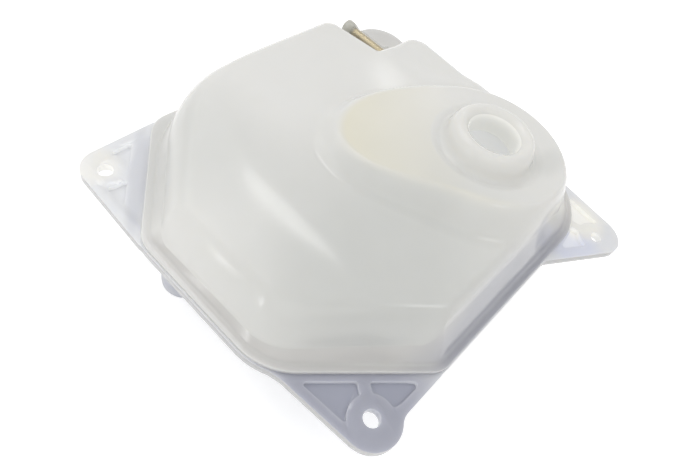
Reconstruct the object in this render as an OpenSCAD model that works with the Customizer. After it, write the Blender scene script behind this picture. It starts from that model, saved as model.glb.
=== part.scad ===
/* [Shells] */
// Wall of both shells
wall = 2.6; // [2.0:0.1:3.4]
// Height of the flat main top above the seats
top_h = 43; // [40:0.5:48]
// Depth of the lower pan below the seats
pan_h = 27; // [22:0.5:34]
// Radius that rounds the pan into its floor
pan_round = 17; // [10:0.5:20]
// How far the pan's side leans in above that radius
pan_lean = 3; // [1:0.5:6]
// Thickness of the welded rim on the upper shell
rim_h = 3; // [2:0.25:4.5]
// Width of the welded rim in front of the wall
rim_w = 4; // [3:0.25:5.5]

/* [Seam outline] */
// Left edge of the seam, from the front lug's hole
left_x = -207.5; // [-215:0.5:-204]
// Right edge of the seam
right_x = 9.5; // [8:0.5:12]
// Front edge where it meets the left slant
front_left_y = -24.5; // [-27:0.5:-22]
// Front edge where it meets the right slant
front_right_y = -24.5; // [-27:0.5:-23]
// Back edge at the left corner
back_left_y = 241; // [236:0.5:246]
// Back edge at the right corner
back_right_y = 227; // [224:0.5:230]
// Width of the left slanted corner
left_slant_x = 66.5; // [60:0.5:72]
// Where the left slant meets the left edge
left_slant_y = 30; // [24:0.5:36]
// Width of the right slanted corner
right_slant_x = 59; // [54:0.5:64]
// Where the right slant meets the right edge
right_slant_y = 43; // [38:0.5:48]

/* [Top surface] */
// Line where the top starts to fall to the front
ridge_y = 30; // [24:1:36]
// Fall of the top in front of that line, as a slope
ridge_fall = 0.2; // [0.1:0.01:0.26]
// How softly the two slopes of the top meet
ridge_soft = 16; // [8:1:24]
// Bend of the ridge line towards its ends
ridge_bend = 0.003; // [0:0.0005:0.004]

/* [Corner recess] */
// Side wall of the recess, at its foot
recess_x = -164; // [-168:0.5:-160]
// Front wall of the recess, at its inner end
recess_y = 173; // [169:0.5:175]
// How much further forward its outer end lies
recess_skew = 6; // [2:0.5:8]

/* [Filler dome and neck] */
// Neck axis to the left of the front lug's hole
neck_x = -54.5; // [-57:0.5:-52]
// Neck axis behind the front lug's hole
neck_y = 138; // [136:0.5:141]
// Height of the dome round the neck
dome_h = 60; // [57:0.5:63]
// Radius of the dome
dome_r = 46.5; // [45:0.5:48]
// How much the dome is flattened towards the front
dome_flat = 5; // [2:0.5:7]
// How far the dome's nose reaches past that radius
nose_l = 37; // [30:1:42]
// Direction of the nose, in degrees from the right
nose_a = 223; // [217:1:229]
// Sharpness of the nose on its left side
nose_left = 8; // [6:1:12]
// Sharpness of the nose on its front side
nose_front = 12; // [8:1:18]
// Fall of the dome's top towards the nose, as a slope
nose_fall = 0.14; // [0.08:0.01:0.18]
// Width of the dome's sloping skirt
skirt_w = 11; // [8:0.5:14]
// Depth of the valley round the neck
valley_d = 2.2; // [1:0.2:3]
// Radius of the neck's bore
neck_bore_r = 14.5; // [13:0.25:16]
// Outside radius of the collar
collar_foot_r = 25.5; // [24:0.5:28]
// Radius of the collar's crest
collar_crest_r = 18.5; // [17.5:0.25:20.5]
// Height of the collar above the dome
collar_h = 11; // [9:0.5:15]
// Height of the collar's upright side above the dome
collar_side_h = 3; // [0:0.5:5]
// How far the collar's crest rounds down into the bore
collar_lip_h = 4; // [2:0.5:5]

/* [Lugs] */
// Thickness of the flange plate and its lugs
plate_h = 5; // [4:0.25:6.5]
// How far the plate stands out past the upper rim
plate_edge = 0.8; // [0.4:0.1:1.4]
// Hole of the left lug, sideways from the front lug's hole
left_hole_x = -191.5; // [-194:0.5:-189]
// Hole of the left lug, backwards from the front lug's hole
left_hole_y = -11; // [-13:0.5:-9]
// Hole of the rear lug, sideways from the front lug's hole
rear_hole_x = 24; // [22:0.5:26]
// Hole of the rear lug, backwards from the front lug's hole
rear_hole_y = 203; // [200:0.5:206]
// Radius of the front lug's hole
front_hole_r = 4.5; // [3.5:0.25:5]
// Radius of the left lug's hole
left_hole_r = 4.25; // [3.5:0.25:5]
// Radius of the rear lug's hole
rear_hole_r = 3.75; // [3.5:0.25:5]
// Radius of the lugs' rounded ends
lug_end_r = 15.5; // [14:0.25:17]
// Radius of the boss round each hole
lug_boss_r = 12; // [10:0.5:13]
// Width of the rib between a lug's pockets
lug_rib_w = 6; // [4:0.5:7]
// Width of the front lug's border round its pockets
lug_border_w = 5; // [3:0.5:6]
// Depth of the pockets in the lugs
pocket_d = 3; // [2:0.25:3.5]

/* [Vent nipple] */
// Axis of the vent nipple behind the front lug's hole
vent_y = 177; // [176:0.5:182]
// Height of the vent nipple above the seats
vent_z = 34; // [31:0.5:35]
// Length of the vent nipple in the recess
vent_l = 34; // [30:0.5:38]
// Outside radius of the vent nipple
vent_r = 4.25; // [4:0.05:5]
// Outside radius of the bead at its tip
vent_bead_r = 5.2; // [5.05:0.05:6]
// Length of the bead's even part
vent_bead_l = 4; // [3:0.25:5]
// Length over which the bead tapers to the nipple
vent_taper_l = 4; // [3:0.25:6]
// Outside radius of the metal sleeve in the nipple
sleeve_r = 3.2; // [2.8:0.05:3.4]
// Wall of the metal sleeve
sleeve_wall = 0.8; // [0.6:0.1:1.2]
// Clearance between the sleeve and the nipple
sleeve_gap = 0.05; // [0.03:0.01:0.15]
// Length of the nipple's tip that the sleeve doesn't reach
sleeve_short = 6; // [4:0.5:8]

/* [Outlet spigot] */
// Axis of the outlet spigot, sideways from the front lug's hole
outlet_x = -135.5; // [-138:0.5:-130]
// Axis of the outlet spigot, backwards from the front lug's hole
outlet_y = 0.5; // [-1:0.5:4]
// Outside radius of the outlet spigot
outlet_r = 13; // [12:0.25:14]
// Wall of the outlet spigot
outlet_wall = 3; // [2:0.25:4]
// Length of the spigot below the pan's floor
outlet_l = 19; // [16:0.5:26]
// How far the bead stands out from the spigot
outlet_bead = 1.2; // [0.6:0.1:2]
// Length of the bead's even part
outlet_bead_l = 4; // [3:0.25:6]

/* [Hidden] */
neck = [neck_x, neck_y];
seam_z = plate_h;
rim_z = seam_z + rim_h;
// The dome's flattened side, in degrees from the right
flat_a = 300;
// Points round a corner, and along the straight after it
round_steps = 6;
straight_steps = [4, 3, 22, 5, 1, 1, 3, 2];
// A cut reaches this far past the faces that it opens
over = 1;
sides = 96;
// Below this sine two edges count as one straight line
nearly_straight = 0.02;

function unit(v) = v / norm(v);
function mix(a, b, s) = a + (b - a) * s;
function at(list, i) = list[(i + len(list)) % len(list)];
function soft_step(s) = let (q = min(max(s, 0), 1)) q * q * (3 - 2 * q);
function soft_ramp(s, k) = (s + sqrt(s * s + k * k)) / 2;
function soft_min(a, b, k) = a - soft_ramp(a - b, k);
function left_normal(v) = [-v.y, v.x];

// A corner moved in by d1 from the edge before it and by d2 from the edge after it
function moved_corner(a, v, b, d1, d2) =
    let (
        u1 = unit(v - a),
        u2 = unit(b - v),
        c = cross(u1, u2),
        p1 = v + left_normal(u1) * d1,
        p2 = v + left_normal(u2) * d2
    )
    abs(c) < nearly_straight ? p1 : p1 + u1 * (cross(p2 - p1, u2) / c);
function inset(corners, d) = [for (i = [0:len(corners) - 1])
    moved_corner(at(corners, i - 1), corners[i], at(corners, i + 1), at(d, i - 1), d[i])];

// A circular arc round a corner, touching its edges at the distance t from it
function corner_arc(a, v, b, t) =
    let (
        u1 = unit(a - v),
        u2 = unit(b - v),
        w = sqrt((1 - u1 * u2) / 2)
    )
    [for (j = [0:round_steps]) let (s = j / round_steps, k = 2 * w * s * (1 - s), q = (1 - s) ^ 2 + k + s ^ 2)
        ((v + u1 * t) * (1 - s) ^ 2 + v * k + (v + u2 * t) * s ^ 2) / q];
function rounded(corners, t, extra = straight_steps) = [for (i = [0:len(corners) - 1])
    let (
        v = corners[i],
        b = at(corners, i + 1),
        u = unit(b - v),
        start = v + u * t[i],
        end = b - u * at(t, i + 1)
    )
    each concat(
        corner_arc(at(corners, i - 1), v, b, t[i]),
        [for (j = [1:1:extra[i]]) mix(start, end, j / (extra[i] + 1))]
    )];
// One value per edge, spread over the points of a rounded outline
function spread(values) = [for (i = [0:len(values) - 1])
    each concat(
        [for (j = [0:round_steps]) mix(at(values, i - 1), values[i], j / round_steps)],
        [for (j = [1:straight_steps[i]]) values[i]]
    )];
function level(points, z) = [for (p = points) [p.x, p.y, z]];

// The seam's outline: front, right slant, right, back, back behind the recess, left, left again, left slant
front_left = [left_x + left_slant_x, front_left_y];
front_right = [right_x - right_slant_x, front_right_y];
back_right = [right_x, back_right_y];
back_left = [left_x, back_left_y];
function back_edge(x) = mix(back_right, back_left, (right_x - x) / (right_x - left_x));
seam = [
    front_left,
    front_right,
    [right_x, right_slant_y],
    back_right,
    back_edge(recess_x),
    back_left,
    [left_x, recess_y - recess_skew],
    [left_x, left_slant_y]
];
// How far each corner's round reaches along its edges
seam_t = [6.2, 17, 5.5, 50, 6, 22, 6, 8.5];

// The wall's foot follows the seam and steps round the corner recess, with its own rounds
wall_in = inset(seam, [for (p = seam) rim_w]);
wall_foot = [
    wall_in[0],
    wall_in[1],
    wall_in[2],
    wall_in[3],
    [recess_x, wall_in[4].y],
    [recess_x, recess_y],
    [wall_in[6].x, recess_y - recess_skew],
    wall_in[7]
];
wall_t = [6, 14, 6, 46, 7, 4, 7, 26];
// Lean of each edge's wall, and the width and height of the shoulder above it
lean = [4, 5, 9, 18, 4.5, 4.5, 3, 6];
shoulder_w = [16, 13, 7, 10, 6, 6, 8, 14];
shoulder_h = [15, 15, 9, 11, 7, 7, 8, 14];
// Angles along the shoulder's quarter round, from the wall up to the flat top
shoulder_a = [25, 40, 56, 72, 90];
// The corners' rounds grow smaller over the shoulder, down to a least size
corner_loss = 2;
corner_min = 3;

// Height of the main top, and the dome's outline and top as seen from the neck's axis
ridge_mid = -70;
function ridge(x) = ridge_y + ridge_bend * (x - ridge_mid) ^ 2;
function main_z(p) = top_h - ridge_fall * soft_ramp(ridge(p.x) - p.y, ridge_soft);
function bearing(p) = atan2(p.y - neck_y, p.x - neck_x);
function turned(a) = (a + 360) % 360;
function dome_edge(a) =
    let (sharp = turned(a) < nose_a ? nose_left : nose_front)
    dome_r - dome_flat * ((1 + cos(a - flat_a)) / 2) ^ 2 + nose_l * ((1 + cos(a - nose_a)) / 2) ^ sharp;
nose_dir = [cos(nose_a), sin(nose_a)];
function dome_top(p) =
    dome_h - nose_fall * soft_ramp((p - neck) * nose_dir - collar_foot_r, collar_foot_r / 2);
function surface_z(p, w) =
    let (rise = soft_step((dome_edge(bearing(p)) - w + skirt_w - norm(p - neck)) / skirt_w))
    mix(main_z(p), dome_top(p), rise) - w;

// Rings on the skirt: their place across it, and how far they stay from a wall that is near
skirt_share = [1, 0.7, 0.45, 0.2, -0.1, -0.45];
skirt_back = [1, 2, 3, 4, 5.2, 7];
skirt_soft = 7;
// Places of the rings between the shoulder and the skirt
field_share = [0.3, 0.6, 0.82];
// Rings of one face of the upper shell; w is 0 on the outside and the wall's thickness inside
function wall_ring(w, share) =
    let (d = [for (i = [0:len(lean) - 1]) w + lean[i] + shoulder_w[i] * share])
    rounded(inset(wall_foot, d), [for (t = wall_t) max(t - share * corner_loss, corner_min)]);
function shoulder_ring(w, a) =
    let (
        points = wall_ring(w, 1 - cos(a) / cos(shoulder_a[0])),
        fall = spread(shoulder_h),
        share = (1 - sin(a)) / (1 - sin(shoulder_a[0]))
    )
    [for (i = [0:len(points) - 1]) [points[i].x, points[i].y, surface_z(points[i], w) - fall[i] * share]];
function inner_radius(p, w, step) =
    let (edge = dome_edge(bearing(p)) - w, reach = norm(p - neck))
    soft_min(edge + skirt_w * skirt_share[step], reach - skirt_back[step], skirt_soft);
function dome_ring(w, step) = [for (p = wall_ring(w, 1))
    let (q = neck + unit(p - neck) * inner_radius(p, w, step))
    [q.x, q.y, surface_z(q, w)]];
function field_ring(w, share) =
    let (outer = wall_ring(w, 1))
    [for (p = outer)
        let (q = mix(p, neck + unit(p - neck) * inner_radius(p, w, 0), share))
        [q.x, q.y, surface_z(q, w)]];
// The valley starts at its own radius; under the collar the rings reach in to the bore
valley_w = 6;
valley_floor_w = 2.5;
valley_r = collar_foot_r + valley_w;
valley_floor_r = collar_foot_r + valley_floor_w;
skin_end_r = neck_bore_r - 2;
function top_ring(w, share) = [for (p = wall_ring(w, 1))
    let (q = neck + unit(p - neck) * mix(valley_r, inner_radius(p, w, len(skirt_share) - 1), share))
    [q.x, q.y, dome_top(q) - w]];
function neck_ring(w, r, down) = [for (p = wall_ring(w, 1))
    let (q = neck + unit(p - neck) * r)
    [q.x, q.y, dome_top(q) - w - down]];

function upper_face(w, start) = concat(
    start,
    [for (a = shoulder_a) shoulder_ring(w, a)],
    [for (share = field_share) field_ring(w, share)],
    [for (step = [0:len(skirt_share) - 1]) dome_ring(w, step)],
    [for (share = [0.5, 0]) top_ring(w, share)],
    [for (r = [valley_floor_r, skin_end_r]) neck_ring(w, r, valley_d)]
);
function reversed(list) = [for (i = [len(list) - 1:-1:0]) list[i]];

// A cap's triangles fan out from the middle of the back left corner, far from the outlet
back_left_corner = 5;
cap_start = back_left_corner * (round_steps + 1) + round_steps / 2;
// A skin over rings of equal count; a closed one joins its last ring to its first
module skin(rings, closed = false) {
    n = len(rings[0]);
    rows = len(rings);
    last = closed ? rows - 1 : rows - 2;
    points = [for (ring = rings) each ring];
    sides_of = [for (i = [0:last]) for (j = [0:n - 1])
        let (
            a = i * n + j,
            b = i * n + (j + 1) % n,
            c = ((i + 1) % rows) * n + j,
            d = ((i + 1) % rows) * n + (j + 1) % n
        )
        each norm(points[a] - points[d]) < norm(points[b] - points[c]) + over
            ? [[a, c, d], [a, d, b]]
            : [[a, c, b], [b, c, d]]];
    ends = closed ? [] : [
        [for (j = [0:n - 1]) (j + cap_start) % n],
        [for (j = [n - 1:-1:0]) (rows - 1) * n + (j + cap_start) % n]
    ];
    polyhedron(points = points, faces = concat(sides_of, ends), convexity = 10);
}

module upper_casting() {
    foot = rounded(wall_foot, wall_t);
    inner_foot = rounded(inset(wall_foot, [for (v = wall_foot) wall]), wall_t);
    outer = upper_face(0, [
        level(rounded(seam, seam_t), seam_z),
        level(rounded(seam, seam_t), rim_z),
        level(foot, rim_z)
    ]);
    inner = upper_face(wall, [level(inner_foot, seam_z)]);
    skin(concat(outer, reversed(inner)), closed = true);
}

// The neck's collar, a rounded ring that stands in the valley
collar_top = dome_h + collar_h;
collar_root = dome_h - valley_d - wall;
module collar() {
    side_z = dome_h + collar_side_h;
    lip_z = collar_top - collar_lip_h;
    translate([neck_x, neck_y, 0])
        rotate_extrude($fn = sides)
            polygon(concat(
                [[neck_bore_r - over, collar_root], [collar_foot_r, collar_root]],
                [for (a = [0:15:90]) [
                    mix(collar_crest_r, collar_foot_r, cos(a)),
                    mix(side_z, collar_top, sin(a))
                ]],
                [for (a = [72:-18:0]) [
                    mix(collar_crest_r, neck_bore_r, cos(a)),
                    mix(lip_z, collar_top, sin(a))
                ]],
                [[neck_bore_r - over, lip_z - over]]
            ));
}

// A hose spigot that stands on its tip: a bead, its taper and the tube behind them
module turned_spigot(r, bead_r, bead_l, taper_l, reach) {
    rotate_extrude($fn = sides)
        polygon([[0, 0], [bead_r, 0], [bead_r, bead_l], [r, bead_l + taper_l], [r, reach], [0, reach]]);
}
module along_left(x, y, z) {
    translate([x, y, z]) rotate([0, -90, 0]) children();
}

// The nipple stands on the recess's side wall and points to the left
vent_root = recess_x + lean[4];
vent_tip = vent_root - vent_l;
vent_bore_r = sleeve_r + sleeve_gap;
// The sleeve's bore starts this far behind the recess's wall
vent_inside = wall * 3;
module vent_nipple() {
    translate([vent_tip, vent_y, vent_z])
        rotate([0, 90, 0])
            turned_spigot(vent_r, vent_bead_r, vent_bead_l, vent_taper_l, vent_l + wall + over);
}

module upper_shell() {
    color([0.9, 0.9, 0.87])
        difference() {
            union() {
                upper_casting();
                collar();
                vent_nipple();
            }
            translate([neck_x, neck_y, top_h])
                cylinder(r = neck_bore_r, h = collar_top - top_h + over, $fn = sides);
            along_left(vent_root + vent_inside, vent_y, vent_z)
                cylinder(r = vent_bore_r, h = vent_inside + vent_l - sleeve_short, $fn = sides);
            along_left(vent_root, vent_y, vent_z)
                cylinder(r = sleeve_r - sleeve_wall, h = vent_l + over, $fn = sides);
        }
}

module vent_sleeve() {
    color([0.78, 0.62, 0.3])
        difference() {
            along_left(vent_root + wall, vent_y, vent_z)
                cylinder(r = sleeve_r, h = vent_l + wall - sleeve_short - sleeve_gap, $fn = sides);
            along_left(vent_root + wall + over, vent_y, vent_z)
                cylinder(r = sleeve_r - sleeve_wall, h = vent_l + wall + over, $fn = sides);
        }
}

// The flange plate in plan, with the three lugs drawn into it
left_hole = [left_hole_x, left_hole_y];
rear_hole = [rear_hole_x, rear_hole_y];
front_hole = [0, 0];
lug_holes = [front_hole, left_hole, rear_hole];
lug_hole_r = [front_hole_r, left_hole_r, rear_hole_r];
fillet_r = 10;
// How the front lug's border runs from the front corner to the side of its round end
front_lug_run = [8, 5.5];
front_lug_side = 2;
// The other lugs' round ends, moved from their holes, and what ties them to the plate
left_lug_shift = [-1, 2];
left_lug_trim = 1.5;
left_lug_root = 20;
rear_lug_shift = [-1, 4];
rear_lug_back = [-45, 3];
rear_lug_side = -72;
rear_lug_root = [-45, -40];
// Directions of the ribs, in degrees from the right
rib_a = [145, 44, 195];
rib_l = 4 * lug_end_r;
pocket_r = 1.5;
// The borders of the other lugs are wider, and so is the plate between the rim and their pockets
border_w = [lug_border_w, lug_border_w + 1, lug_border_w + 2.5];
rim_gap = [3.3, 9.7, 2];
module plate_outline() {
    offset(delta = plate_edge) polygon(rounded(seam, seam_t));
}
module front_lug_outline() {
    polygon([
        front_right - [seam_t[1], plate_edge],
        front_right + front_lug_run,
        [front_lug_side, -lug_end_r],
        [lug_end_r / 2, lug_end_r / 2],
        [right_x + plate_edge, lug_end_r],
        [right_x + plate_edge, right_slant_y]
    ]);
}
module left_lug_outline() {
    hull() {
        translate(left_hole + left_lug_shift) circle(r = lug_end_r - left_lug_trim, $fn = 48);
        polygon([
            front_left + [0, -plate_edge],
            [left_x - plate_edge, left_slant_y],
            front_left + [0, left_lug_root]
        ]);
    }
}
module rear_lug_outline() {
    hull() {
        translate(rear_hole + rear_lug_shift) circle(r = lug_end_r, $fn = 48);
        polygon([
            back_right + rear_lug_back,
            back_right + [plate_edge, rear_lug_side],
            back_right + rear_lug_root
        ]);
    }
}
module flange_outline() {
    offset(r = -fillet_r, $fn = 48) offset(r = fillet_r, $fn = 48)
        union() {
            plate_outline();
            front_lug_outline();
            circle(r = lug_end_r, $fn = 64);
            left_lug_outline();
            rear_lug_outline();
        }
}

// Pockets between the lug's border, its boss and one rib that runs from the boss to the wall
module lug_pockets(i) {
    offset(r = pocket_r, $fn = 24) offset(delta = -pocket_r)
        difference() {
            offset(delta = -border_w[i]) children();
            translate(lug_holes[i]) circle(r = lug_boss_r, $fn = 48);
            translate(lug_holes[i])
                rotate(rib_a[i])
                    translate([0, -lug_rib_w / 2])
                        square([rib_l, lug_rib_w]);
            offset(delta = rim_gap[i]) polygon(rounded(seam, seam_t));
        }
}

// Rings of one face of the pan, from its mouth down to its floor
pan_t = [7, 15, 8, 46, 6, 20, 6, 10];
pan_steps = [for (v = seam) 0];
function pan_outline(d) = rounded(inset(seam, [for (v = seam) rim_w + d]), pan_t, pan_steps);
function pan_face(w, top) = concat(
    [level(pan_outline(w), top)],
    [for (a = [0:22.5:90]) level(
        pan_outline(w + pan_lean + (pan_round - w) * (1 - cos(a))),
        -(pan_h - pan_round) - (pan_round - w) * sin(a)
    )]
);
module pan(w, top) {
    skin(reversed(pan_face(w, top)));
}

outlet_end = -pan_h - outlet_l;
// The spigot reaches up into the pan's round, and its bore stops just short of that
outlet_up = 13.6;
outlet_reach = outlet_l + outlet_up;
outlet_bore_l = outlet_reach - 0.5;
module outlet() {
    translate([outlet_x, outlet_y, outlet_end])
        turned_spigot(outlet_r, outlet_r + outlet_bead, outlet_bead_l, outlet_bead_l, outlet_reach);
}

module lower_shell() {
    color([0.8, 0.83, 0.87])
        difference() {
            union() {
                linear_extrude(plate_h) flange_outline();
                pan(0, plate_h - over);
                outlet();
            }
            pan(wall, plate_h + over);
            for (i = [0:2])
                translate([lug_holes[i].x, lug_holes[i].y, -over])
                    cylinder(r = lug_hole_r[i], h = plate_h + 2 * over, $fn = sides);
            translate([0, 0, plate_h - pocket_d])
                linear_extrude(pocket_d + over) {
                    lug_pockets(0) front_lug_outline();
                    lug_pockets(1) left_lug_outline();
                    lug_pockets(2) rear_lug_outline();
                }
            translate([outlet_x, outlet_y, outlet_end - over])
                cylinder(r = outlet_r - outlet_wall, h = outlet_bore_l, $fn = sides);
        }
}

lower_shell();
upper_shell();
vent_sleeve();
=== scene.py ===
"""Dresses the coolant expansion tank: milky welded shells, a clear vent nipple and its brass sleeve."""

import math

import bpy
from mathutils import Matrix, Vector


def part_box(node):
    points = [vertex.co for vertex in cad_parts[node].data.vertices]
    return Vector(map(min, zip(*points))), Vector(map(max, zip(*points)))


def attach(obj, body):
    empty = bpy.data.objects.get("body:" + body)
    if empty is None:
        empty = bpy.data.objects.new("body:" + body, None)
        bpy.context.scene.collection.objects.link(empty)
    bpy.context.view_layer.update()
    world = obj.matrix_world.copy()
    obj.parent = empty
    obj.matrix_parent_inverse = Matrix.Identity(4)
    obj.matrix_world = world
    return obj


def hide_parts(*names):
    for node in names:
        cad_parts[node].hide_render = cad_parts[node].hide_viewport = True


bl_info = {
    "name": "Coolant expansion tank",
    "version": (1, 0, 0),
    "blender": (4, 5, 0),
    "location": "3D View > Sidebar > Tank",
    "description": "Builds the moulded shells, the vent nipple and the studio of a coolant expansion tank",
    "category": "Object",
}

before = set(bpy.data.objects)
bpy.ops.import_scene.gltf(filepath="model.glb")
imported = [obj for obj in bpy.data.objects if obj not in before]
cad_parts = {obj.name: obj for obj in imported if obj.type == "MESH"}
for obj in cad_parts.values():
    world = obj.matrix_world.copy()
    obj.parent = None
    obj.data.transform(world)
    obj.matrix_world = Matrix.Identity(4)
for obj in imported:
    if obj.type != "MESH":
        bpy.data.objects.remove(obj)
MM = 0.001

# Sizes of the moulding in millimetres, from the front lug's hole. The shoulders, the dome's skirt, the valley,
# the collar and the corner beside the recess are softer than in the solids.
WALL = 2.6
SEAM_Z = 5.0
RIM_Z = 8.0
TOP_H = 43.0
LEFT_X, RIGHT_X = -207.5, 9.5
RIM_W = 4.0
RECESS_X, RECESS_Y, RECESS_SKEW = -164.0, 173.0, 6.0
BACK_RIGHT = (RIGHT_X, 227.0)
BACK_LEFT = (LEFT_X, 241.0)
BACK_SLOPE = (BACK_LEFT[1] - BACK_RIGHT[1]) / (RIGHT_X - LEFT_X)
# The corners and edges run from the front's left end round by the right: front, right slant, right, back,
# back behind the recess, left, left again, left slant
SEAM = [
    (-141.0, -24.5),
    (-49.5, -24.5),
    (RIGHT_X, 43.0),
    BACK_RIGHT,
    (RECESS_X, BACK_RIGHT[1] + (RIGHT_X - RECESS_X) * BACK_SLOPE),
    BACK_LEFT,
    (LEFT_X, RECESS_Y - RECESS_SKEW),
    (LEFT_X, 30.0),
]
# Radii that round the corners, as the distance from the corner to where the round starts
SEAM_ROUND = [6.2, 17, 5.5, 50, 6, 22, 6, 8.5]
WALL_ROUND = [6, 14, 6, 46, 12, 4, 7, 26]
# Lean of each wall, and width and height of the shoulder above it
LEAN = [3, 5, 9, 18, 4.5, 4.5, 3, 6]
SHOULDER_W = [15, 14, 8, 10, 6, 6, 8, 15]
SHOULDER_H = [21, 20, 12, 11, 7, 7, 8, 16]
# The shoulder's first angle, its rings, and what the corners lose of their round up the shoulder
SHOULDER_START, SHOULDER_RINGS = 25, 12
CORNER_LOSS, CORNER_MIN = 2, 3
RIDGE_Y, RIDGE_FALL, RIDGE_SOFT, RIDGE_BEND, RIDGE_MID = 30, 0.2, 16, 0.003, -70
NECK = Vector((-54.5, 138.0))
DOME_H, DOME_R, DOME_FLAT, FLAT_A = 60.0, 46.5, 5.0, 300
NOSE_L, NOSE_A, NOSE_LEFT, NOSE_FRONT, NOSE_FALL = 37.0, 223, 8, 12, 0.14
NOSE = Vector((math.cos(math.radians(NOSE_A)), math.sin(math.radians(NOSE_A))))
SKIRT_W, SKIRT_TAIL = 18.0, 1.4
VALLEY_D, VALLEY_W, VALLEY_FLOOR_W, VALLEY_RINGS = 1.0, 8.0, 3.0, 6
# The soft drop of the top near the recessed corner
SINK, SINK_R, SINK_W, SINK_D = Vector((-143.0, 216.0)), 50.0, 20.0, 2.4
BORE_R, COLLAR_R, CREST_R = 14.5, 25.5, 20.0
COLLAR_H, COLLAR_SIDE_H, COLLAR_LIP_H = 11.0, -0.5, 6.0
COLLAR_FILLET, COLLAR_FILLET_RINGS = 0.3, 6
COLLAR_ANGLES = [i * 7.5 for i in range(3, 13)]
LIP_ANGLES = [90 - i * 11.25 for i in range(1, 9)]
VENT_ROOT, VENT_Y, VENT_Z, VENT_L = -159.5, 177.0, 34.0, 34.0
VENT_R, BEAD_R, BEAD_L, BEAD_TAPER = 4.25, 5.2, 4.0, 4.0
NIPPLE_SUNK, NIPPLE_BORE_R = 1.5, 2.4
SLEEVE_R, SLEEVE_WALL, SLEEVE_GAP, SLEEVE_SHORT, SLEEVE_CHAMFER = 3.2, 0.8, 0.05, 6.0, 0.2

# Height of the rim's upright side below its top, and how far in the rim is flat before the wall's fillet
RIM_EDGE, RIM_FLAT, FILLET_START = 0.8, 0.17, 0.45
FILLET_SHARES = (0.25, 0.5, 0.75)

TANK_CENTRE = (-95.0, 110.0, 3.0)
OUTLET_X, OUTLET_Y, OUTLET_CLEAR, OUTLET_TOP = -135.5, 0.5, 16.0, -12.0
LUG_HOLES, LUG_CLEAR = [(0.0, 0.0), (-191.5, -11.0), (24.0, 203.0)], 6.0
# A face is the plate's edge when a ray from this height in metres falls past it, this far in front of it
RAY_HEIGHT, PROBE = 0.1, 2.0
# How much painted shade darkens the rim and the wall along each edge of the outline, and how gently that fades up the
# wall
WALL_SHADE = [0.8, 0.75, 1.0, 0.4, 0.7, 0.7, 0.1, 0.25]
BAND_FADE = [0, 0.1, 1, 1, 1, 1, 1, 0.5]
# The rings from the seam up to the shoulder: the share of the band, for a crisp and for a fading band
FOOT_BAND = [(1, 1), (1, 1), (0.5, 0.9), (1, 1), (1, 1), (0.8, 1), (0.5, 0.95), (0.8, 0.95)]
WALL_SHARES = (0.15, 0.3, 0.6, 0.9, 0.96)
WALL_BAND = [(1, 0.95), (1, 0.9), (1, 0.85), (0.95, 0.75), (0.1, 0.7), (0, 0.6)]
SHOULDER_BAND = [(0, 0.6 - i / 16) for i in range(1, 9)]
# Light that the lugs' edges, and the thin floors of the rear lug's pockets, let through
EDGE_GLOW, THIN_GLOW, THIN_X = 0.9, 0.5, 5
# Where the dome's yellow starts along the nose, how far it runs, and the line along the dome's front edge
WARM_Z, WARM_START, WARM_RUN = 30, 12, 66
TIP_INSET, TIP_FADE = 3, 6
LINE_AMOUNT, LINE_W, LINE_START_FADE, LINE_END, LINE_END_FADE = 0.35, 2.5, 10, 345, 50

LAMP_AIM = (-0.1, 0.1, 0.0)

# Points round each corner of the outline, and along the edge after it
CORNER_POINTS = 12
EDGE_POINTS = [14, 12, 44, 24, 6, 6, 20, 16]
FIELD_RINGS = 92
# Rings of the moulding's inside, which is seen only through the neck
INNER_ANGLES, INNER_SHARES, INNER_FIELD_RINGS = [25, 45, 67, 90], (0.5,), 22
BORE_SHARES = (0.3, 0.65, 1)
# Rows of faces from the lip's lower half down to the inside that light soaks through as well
LIT_BORE_ROWS = 8
# Below this sine two edges count as one straight line
NEARLY_STRAIGHT = 0.02


def at(values, i):
    """A value of a closed list."""
    return values[i % len(values)]


def mix(a, b, s):
    return a + (b - a) * s


def soft_step(s):
    """A smooth rise from 0 to 1."""
    q = min(max(s, 0.0), 1.0)
    return q * q * (3 - 2 * q)


def soft_ramp(s, k):
    """0 for low values and s for high ones, with a bend k wide."""
    return (s + math.sqrt(s * s + k * k)) / 2


def inset(corners, d):
    """The outline moved in, by its own distance at each edge."""
    out = []
    for i, v in enumerate(corners):
        a, b = Vector(at(corners, i - 1)), Vector(at(corners, i + 1))
        v = Vector(v)
        u1, u2 = (v - a).normalized(), (b - v).normalized()
        p1 = v + Vector((-u1.y, u1.x)) * at(d, i - 1)
        p2 = v + Vector((-u2.y, u2.x)) * d[i]
        turn = u1.cross(u2)
        out.append(p1 if abs(turn) < NEARLY_STRAIGHT else p1 + u1 * ((p2 - p1).cross(u2) / turn))
    return out


def rounded(corners, t):
    """Points round the outline, each corner a circular arc that touches its edges at the distance t."""
    out = []
    for i, v in enumerate(corners):
        a, v, b = Vector(at(corners, i - 1)), Vector(v), Vector(at(corners, i + 1))
        u1, u2 = (a - v).normalized(), (b - v).normalized()
        w = math.sqrt(max((1 - u1.dot(u2)) / 2, 0))
        p1, p2 = v + u1 * t[i], v + u2 * t[i]
        for j in range(CORNER_POINTS + 1):
            s = j / CORNER_POINTS
            k = 2 * w * s * (1 - s)
            q = (1 - s) ** 2 + k + s**2
            out.append((p1 * (1 - s) ** 2 + v * k + p2 * s**2) / q)
        end = b - u2 * at(t, i + 1)
        steps = EDGE_POINTS[i] + 1
        out.extend(mix(p2, end, j / steps) for j in range(1, steps))
    return out


def spread(values):
    """One value an edge, spread over the points of a rounded outline."""
    out = []
    for i, v in enumerate(values):
        before = at(values, i - 1)
        out.extend(mix(before, v, soft_step(j / CORNER_POINTS)) for j in range(CORNER_POINTS + 1))
        out.extend([v] * EDGE_POINTS[i])
    return out


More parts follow.
